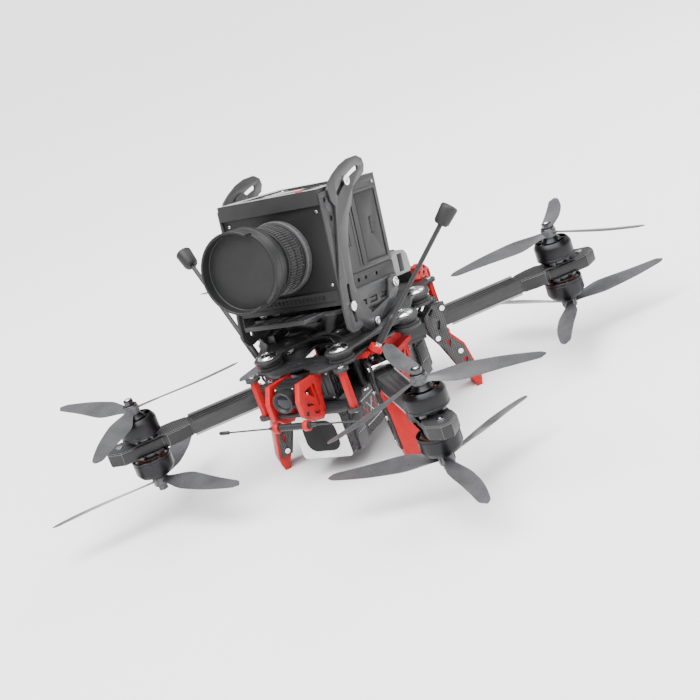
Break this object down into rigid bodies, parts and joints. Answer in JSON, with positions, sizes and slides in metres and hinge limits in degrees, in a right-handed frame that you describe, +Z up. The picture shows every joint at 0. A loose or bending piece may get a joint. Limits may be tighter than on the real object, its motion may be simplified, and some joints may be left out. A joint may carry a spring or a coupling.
{
  "type": "camera drone",
  "caption": "Heavy-lift coaxial camera drone: arms with paired motors, damped plate, tilting cinema camera, pilot camera, battery and landing legs.",
  "frame": {"origin": "on the ground under the middle of the drone", "axes": "+Z up, -Y the nose, +X the left side"},
  "size_m": [0.4804, 0.4804, 0.2446],
  "materials": {
    "carbon_plate": "matte twill carbon fibre",
    "carbon_arm": "satin carbon spar",
    "sheet_edge": "cut carbon sheet, pale edge",
    "copper_winding": "enamelled copper",
    "red_print": "printed flexible plastic, fine layer lines",
    "red_metal": "anodised red",
    "steel": "polished",
    "motor_black": "satin black anodised",
    "propeller_smoke": "smoke-grey, slightly see-through",
    "black_tube": "satin black",
    "pilot_camera_body": "fine matte",
    "circuit": "black solder mask",
    "black_anodised": "matte black",
    "battery_wrap": "printed shrink wrap",
    "strap_webbing": "woven webbing",
    "side_carbon": "carbon plate with red printed truss",
    "tail_print": "printed flexible plastic with a black tube",
    "damper_rubber": "soft rubber",
    "camera_shell": "fine bead-blast paint",
    "camera_battery_grey": "light grey moulded",
    "lens_black": "satin black",
    "focus_rubber": "ribbed rubber",
    "button_red": "gloss"
  },
  "bodies": {
    "frame": {"bottom_plate": "carbon_plate", "middle_plate": "carbon_plate", "upper_plate": "carbon_plate", "arm_front_left": "carbon_arm", "arm_front_right": "carbon_arm", "arm_rear_left": "carbon_arm", "arm_rear_right": "carbon_arm", "arm_sheets": "sheet_edge", "motor_mounts": "carbon_arm", "stators_upper": "copper_winding", "stators_lower": "copper_winding", "standoffs": "red_metal", "frame_screws": "steel", "leg_plates": "carbon_plate", "leg_feet": "red_print", "leg_screws": "steel", "pilot_camera_brackets": "red_print", "crash_bar": "black_tube", "receiver_antenna": "black_tube", "flight_stack": "circuit", "video_transmitter": "black_anodised", "receiver": "circuit", "battery_pack": "battery_wrap", "battery_straps": "strap_webbing", "battery_lead": "black_tube", "video_antennas": "black_tube", "antenna_clips": "red_print", "side_bracket": "side_carbon", "tail_bracket": "tail_print", "isolator_plate": "carbon_plate", "damper_rubbers": "damper_rubber", "damper_caps": "steel", "cage_plates": "carbon_plate", "cage_blocks": "black_anodised", "cage_screws": "steel"},
    "rotor_front_left_upper": {"bell_front_left_upper": "motor_black", "propeller_front_left_upper": "propeller_smoke"},
    "rotor_front_left_lower": {"bell_front_left_lower": "motor_black", "propeller_front_left_lower": "propeller_smoke"},
    "rotor_front_right_upper": {"bell_front_right_upper": "motor_black", "propeller_front_right_upper": "propeller_smoke"},
    "rotor_front_right_lower": {"bell_front_right_lower": "motor_black", "propeller_front_right_lower": "propeller_smoke"},
    "rotor_rear_left_upper": {"bell_rear_left_upper": "motor_black", "propeller_rear_left_upper": "propeller_smoke"},
    "rotor_rear_left_lower": {"bell_rear_left_lower": "motor_black", "propeller_rear_left_lower": "propeller_smoke"},
    "rotor_rear_right_upper": {"bell_rear_right_upper": "motor_black", "propeller_rear_right_upper": "propeller_smoke"},
    "rotor_rear_right_lower": {"bell_rear_right_lower": "motor_black", "propeller_rear_right_lower": "propeller_smoke"},
    "camera_head": {"camera_cradle": "carbon_plate", "camera_body": "camera_shell", "camera_battery": "camera_battery_grey", "lens_barrel": "lens_black", "tilt_screws": "steel"},
    "focus_ring": {"focus_ring": "focus_rubber"},
    "media_door": {"media_door": "camera_shell"},
    "record_button": {"record_button": "button_red"},
    "pilot_camera": {"pilot_camera": "pilot_camera_body"}
  },
  "joints": [
    {"name": "front_left_upper_spin", "type": "hinge", "parent": "frame", "child": "rotor_front_left_upper", "pos_m": [0.142, -0.142, 0.1012], "axis": [0, 0, 1], "continuous": true},
    {"name": "front_left_lower_spin", "type": "hinge", "parent": "frame", "child": "rotor_front_left_lower", "pos_m": [0.142, -0.142, 0.04], "axis": [0, 0, 1], "continuous": true},
    {"name": "front_right_upper_spin", "type": "hinge", "parent": "frame", "child": "rotor_front_right_upper", "pos_m": [-0.142, -0.142, 0.1012], "axis": [0, 0, 1], "continuous": true},
    {"name": "front_right_lower_spin", "type": "hinge", "parent": "frame", "child": "rotor_front_right_lower", "pos_m": [-0.142, -0.142, 0.04], "axis": [0, 0, 1], "continuous": true},
    {"name": "rear_left_upper_spin", "type": "hinge", "parent": "frame", "child": "rotor_rear_left_upper", "pos_m": [0.142, 0.142, 0.1012], "axis": [0, 0, 1], "continuous": true},
    {"name": "rear_left_lower_spin", "type": "hinge", "parent": "frame", "child": "rotor_rear_left_lower", "pos_m": [0.142, 0.142, 0.04], "axis": [0, 0, 1], "continuous": true},
    {"name": "rear_right_upper_spin", "type": "hinge", "parent": "frame", "child": "rotor_rear_right_upper", "pos_m": [-0.142, 0.142, 0.1012], "axis": [0, 0, 1], "continuous": true},
    {"name": "rear_right_lower_spin", "type": "hinge", "parent": "frame", "child": "rotor_rear_right_lower", "pos_m": [-0.142, 0.142, 0.04], "axis": [0, 0, 1], "continuous": true},
    {"name": "camera_tilt", "type": "hinge", "parent": "frame", "child": "camera_head", "pos_m": [0, 0.01017, 0.12879], "axis": [-1, 0, 0], "range_deg": [-8, 12]},
    {"name": "focus_turn", "type": "hinge", "parent": "camera_head", "child": "focus_ring", "pos_m": [0, -0.07805, 0.19383], "axis": [0, -0.9763, 0.2164], "range_deg": [-60, 60]},
    {"name": "media_door_hinge", "type": "hinge", "parent": "camera_head", "child": "media_door", "pos_m": [0.04865, 0.02473, 0.17924], "axis": [0, 0.2164, 0.9763], "range_deg": [0, 100]},
    {"name": "record_press", "type": "slide", "parent": "camera_head", "child": "record_button", "axis": [0, -0.2164, -0.9763], "range_m": [0, 0.0007], "stiffness_N_per_m": 300, "springref_m": -0.0003},
    {"name": "pilot_camera_tilt", "type": "hinge", "parent": "frame", "child": "pilot_camera", "pos_m": [0, -0.112, 0.0885], "axis": [-1, 0, 0], "range_deg": [-5, 35]}
  ]
}
